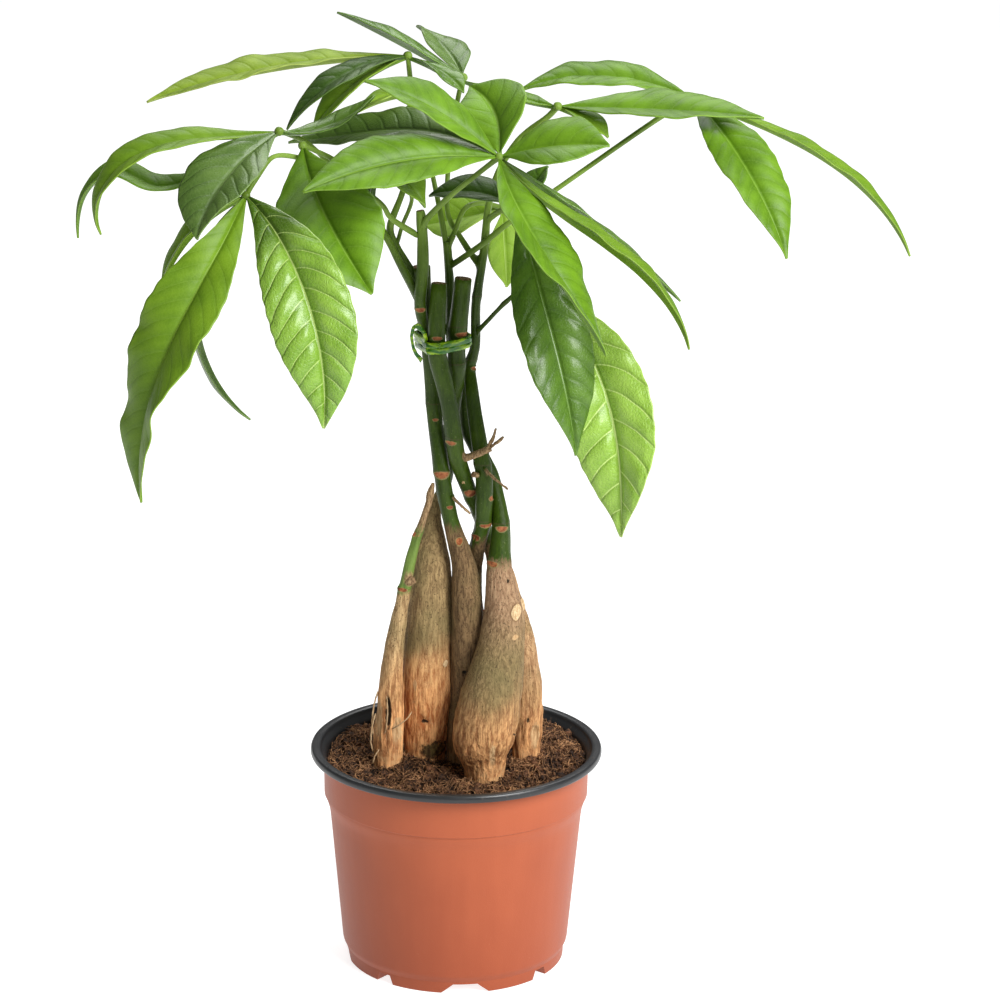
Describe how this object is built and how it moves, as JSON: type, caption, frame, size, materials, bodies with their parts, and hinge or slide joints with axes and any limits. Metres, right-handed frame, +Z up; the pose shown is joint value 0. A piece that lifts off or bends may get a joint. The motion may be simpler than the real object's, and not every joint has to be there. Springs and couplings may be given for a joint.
{
  "type": "potted money tree",
  "caption": "Potted money tree: bulbous trunks braided and tied together, long stalks and drooping palmate leaves, in a plastic grower's pot with soil.",
  "frame": {"origin": "centre of the pot's foot, on the surface it stands on", "axes": "+Z up along the pot's axis, front of the plant towards -Y, +X to the right of someone facing it"},
  "size_m": [0.3309, 0.1537, 0.3904],
  "materials": {
    "pot_plastic": "satin terracotta outside, black inside and rim",
    "soil_peat": "rough fibrous peat",
    "trunk_bark": "matte bark below, satin green stem above",
    "leaf_blade": "satin leaf",
    "tie_plastic": "gloss plastic coating"
  },
  "bodies": {
    "root": {"pot": "pot_plastic", "soil": "soil_peat", "trunk_left_thin": "trunk_bark", "trunk_left": "trunk_bark", "trunk_middle": "trunk_bark", "trunk_front": "trunk_bark", "trunk_right": "trunk_bark", "trunk_back": "trunk_bark", "leaf_a1": "leaf_blade", "leaf_a2": "leaf_blade", "leaf_a3": "leaf_blade", "leaf_a4": "leaf_blade", "leaf_a5": "leaf_blade", "leaf_a6": "leaf_blade", "leaf_a7": "leaf_blade", "leaf_a8": "leaf_blade", "leaf_b1": "leaf_blade", "leaf_b2": "leaf_blade", "leaf_b3": "leaf_blade", "leaf_c1": "leaf_blade", "leaf_c2": "leaf_blade", "leaf_c3": "leaf_blade", "leaf_d1": "leaf_blade", "leaf_d2": "leaf_blade", "leaf_d3": "leaf_blade", "leaf_e1": "leaf_blade", "leaf_e2": "leaf_blade", "leaf_e3": "leaf_blade", "leaf_e4": "leaf_blade", "leaf_f1": "leaf_blade", "leaf_f2": "leaf_blade", "leaf_f3": "leaf_blade", "leaf_f4": "leaf_blade", "leaf_g1": "leaf_blade", "leaf_g2": "leaf_blade", "leaf_g3": "leaf_blade", "leaf_g4": "leaf_blade", "leaf_h1": "leaf_blade", "leaf_h2": "leaf_blade", "leaf_k1": "leaf_blade", "leaf_k2": "leaf_blade", "leaf_l1": "leaf_blade", "leaf_l2": "leaf_blade", "leaf_n1": "leaf_blade", "leaf_o1": "leaf_blade", "leaf_p1": "leaf_blade", "leaf_p2": "leaf_blade", "leaf_p3": "leaf_blade", "tie": "tie_plastic"}
  },
  "joints": []
}
